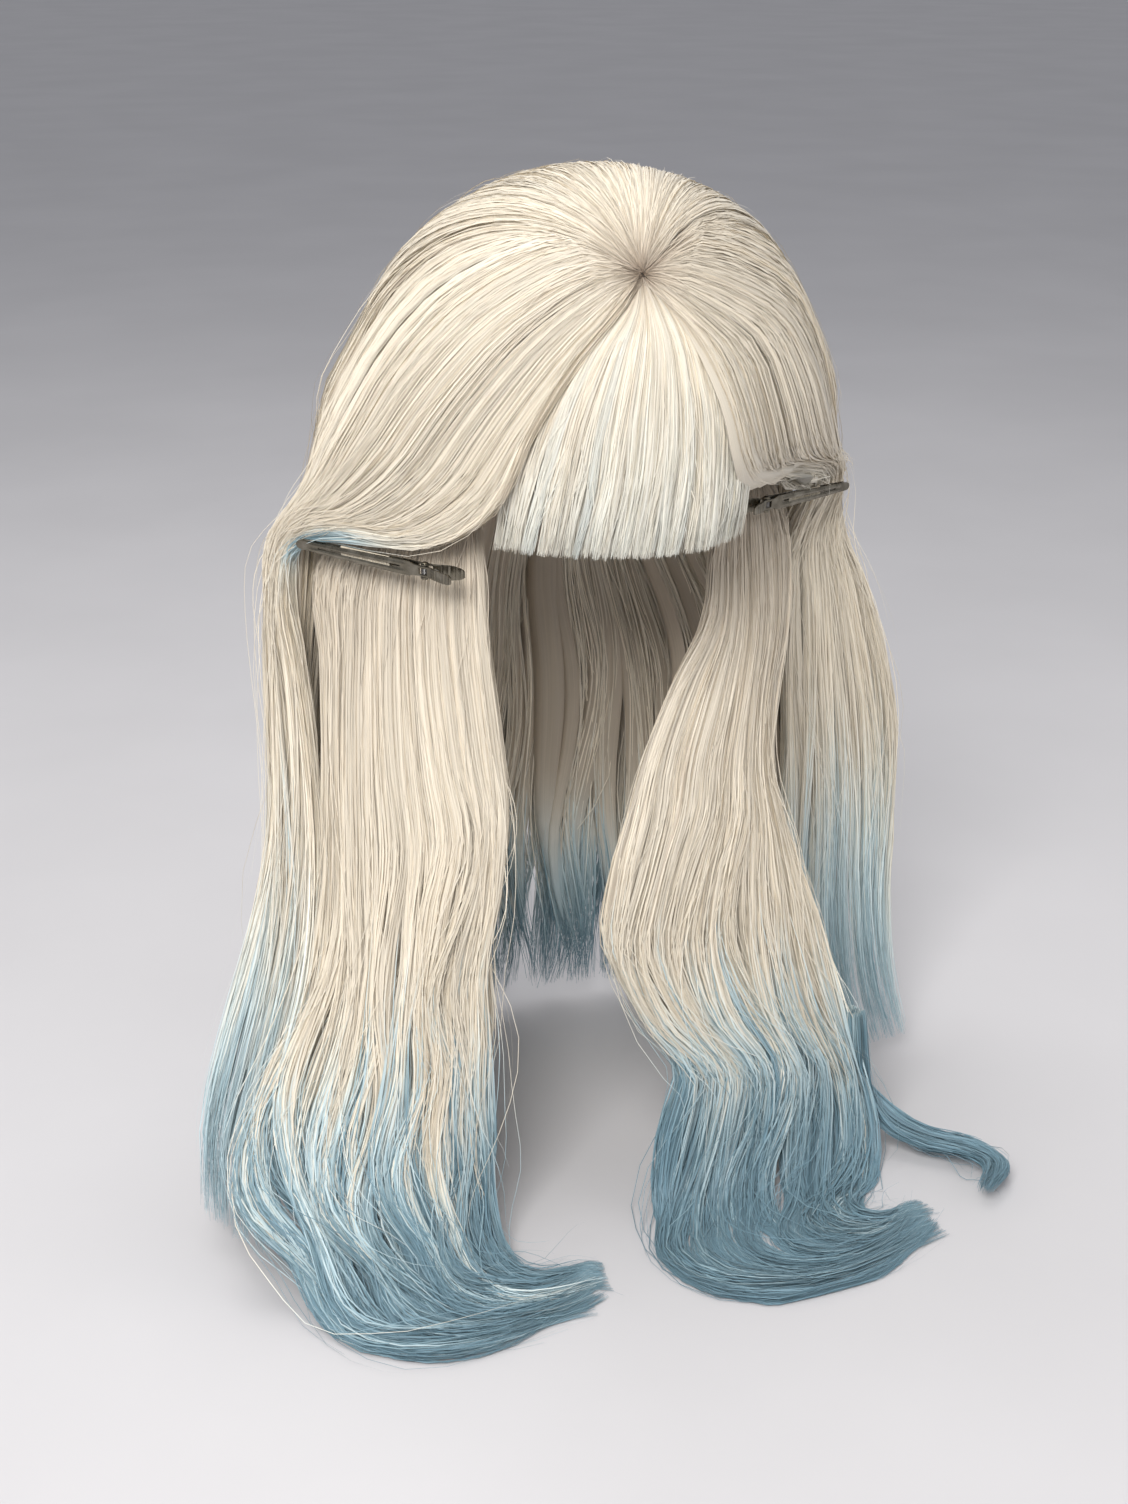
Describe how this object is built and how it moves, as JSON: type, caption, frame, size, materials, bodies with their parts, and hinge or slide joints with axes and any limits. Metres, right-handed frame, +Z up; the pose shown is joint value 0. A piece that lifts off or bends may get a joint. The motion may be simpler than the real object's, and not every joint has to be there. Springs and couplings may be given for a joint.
{
  "type": "costume wig",
  "caption": "Long costume wig with a straight fringe, swept sides held by duckbill clips, wavy lengths that fade from cream to dusty blue, and a sewn cap with adjuster straps.",
  "frame": {"origin": "the middle of the head at the level of the cap's widest ring, where the head holds the wig", "axes": "+Z up towards the crown, -Y the way the face looks, +X the wearer's left"},
  "size_m": [0.4592, 0.3641, 0.5577],
  "materials": {
    "cream_hair": "satin",
    "blue_tip_hair": "satin",
    "cap_net": "matt net",
    "sewn_band": "matt woven",
    "weft_track": "matt stitched",
    "parting_skin": "matt",
    "hook_plastic": "matt",
    "clip_steel": "brushed"
  },
  "bodies": {
    "cap": {"cap_crown_net": "cap_net", "cap_front_net": "cap_net", "cap_side_net_L": "cap_net", "cap_side_net_R": "cap_net", "cap_back_net": "cap_net", "front_edge_band": "sewn_band", "nape_band": "sewn_band", "ear_tab_L": "sewn_band", "ear_tab_R": "sewn_band", "adjuster_strap_L": "sewn_band", "adjuster_strap_R": "sewn_band", "adjuster_loops_L": "sewn_band", "adjuster_loops_R": "sewn_band", "weft_row_1": "weft_track", "weft_row_2": "weft_track", "weft_row_3": "weft_track", "weft_row_4": "weft_track", "weft_row_5": "weft_track", "parting_skin_patch": "parting_skin", "ear_tab_stay_L": "clip_steel", "ear_tab_stay_R": "clip_steel", "fringe_right": "cream_hair", "fringe_centre": "cream_hair", "fringe_left": "cream_hair", "wing_R": "cream_hair", "wing_L": "cream_hair", "crown_hair_left": "cream_hair", "crown_hair_middle": "cream_hair", "crown_hair_right": "cream_hair", "temple_hair_R": "cream_hair", "temple_hair_L": "cream_hair", "clip_R_held_lock": "cream_hair", "clip_L_held_lock": "cream_hair"},
    "front_length_R": {"front_length_R_inner": "cream_hair", "front_length_R_middle": "cream_hair", "front_length_R_outer": "cream_hair", "front_tips_R": "blue_tip_hair", "tip_curl_R": "blue_tip_hair"},
    "front_length_L": {"front_length_L_inner": "cream_hair", "front_length_L_middle": "cream_hair", "front_length_L_outer": "cream_hair", "front_tips_L": "blue_tip_hair", "tip_curl_L_front": "blue_tip_hair", "tip_curl_L_side": "blue_tip_hair"},
    "side_tail_R": {"side_tail_R": "cream_hair"},
    "side_tail_L": {"side_tail_L": "cream_hair"},
    "back_length": {"back_length_left": "cream_hair", "back_length_middle": "cream_hair", "back_length_right": "cream_hair", "back_tips": "blue_tip_hair"},
    "clip_R": {"clip_R_inner_jaw": "clip_steel", "clip_R_pin": "clip_steel", "clip_R_spring": "clip_steel"},
    "clip_R_jaw": {"clip_R_outer_jaw": "clip_steel"},
    "clip_L": {"clip_L_inner_jaw": "clip_steel", "clip_L_pin": "clip_steel", "clip_L_spring": "clip_steel"},
    "clip_L_jaw": {"clip_L_outer_jaw": "clip_steel"},
    "hook_L": {"adjuster_hook_L": "hook_plastic"},
    "hook_R": {"adjuster_hook_R": "hook_plastic"}
  },
  "joints": [
    {"name": "front_length_R_swing", "type": "hinge", "parent": "cap", "child": "front_length_R", "pos_m": [-0.11, -0.066, -0.104], "axis": [-1, 0, 0], "range_deg": [0, 28]},
    {"name": "front_length_L_swing", "type": "hinge", "parent": "cap", "child": "front_length_L", "pos_m": [0.09, -0.05, -0.104], "axis": [-1, 0, 0], "range_deg": [0, 28]},
    {"name": "side_tail_R_swing", "type": "hinge", "parent": "cap", "child": "side_tail_R", "pos_m": [-0.17, 0.03, -0.086], "axis": [0, 1, 0], "range_deg": [0, 25]},
    {"name": "side_tail_L_swing", "type": "hinge", "parent": "cap", "child": "side_tail_L", "pos_m": [0.172, 0.03, -0.086], "axis": [0, -1, 0], "range_deg": [0, 25]},
    {"name": "back_length_swing", "type": "hinge", "parent": "cap", "child": "back_length", "pos_m": [0, 0.09, -0.104], "axis": [1, 0, 0], "range_deg": [0, 22]},
    {"name": "clip_R_slide", "type": "slide", "parent": "cap", "child": "clip_R", "axis": [0, 0, -1], "range_m": [0, 0.03]},
    {"name": "clip_R_open", "type": "hinge", "parent": "clip_R", "child": "clip_R_jaw", "pos_m": [-0.11202, -0.04997, -0.0714], "axis": [0.018, -0.024, 0.9996], "range_deg": [0, 22], "stiffness_Nm_per_rad": 0.08, "springref_deg": -20.05, "deforming": ["clip_R_spring"]},
    {"name": "clip_L_slide", "type": "slide", "parent": "cap", "child": "clip_L", "axis": [0, 0, -1], "range_m": [0, 0.03]},
    {"name": "clip_L_open", "type": "hinge", "parent": "clip_L", "child": "clip_L_jaw", "pos_m": [0.09245, -0.0253, -0.06432], "axis": [-0.0627, -0.0332, -0.9975], "range_deg": [0, 22], "stiffness_Nm_per_rad": 0.08, "springref_deg": -20.05, "deforming": ["clip_L_spring"]},
    {"name": "adjuster_L_slide", "type": "slide", "parent": "cap", "child": "hook_L", "axis": [-0.8952, 0.4456, -0.0028], "range_m": [0, 0.012]},
    {"name": "adjuster_R_slide", "type": "slide", "parent": "cap", "child": "hook_R", "axis": [0.8952, 0.4456, -0.0028], "range_m": [0, 0.012]}
  ]
}
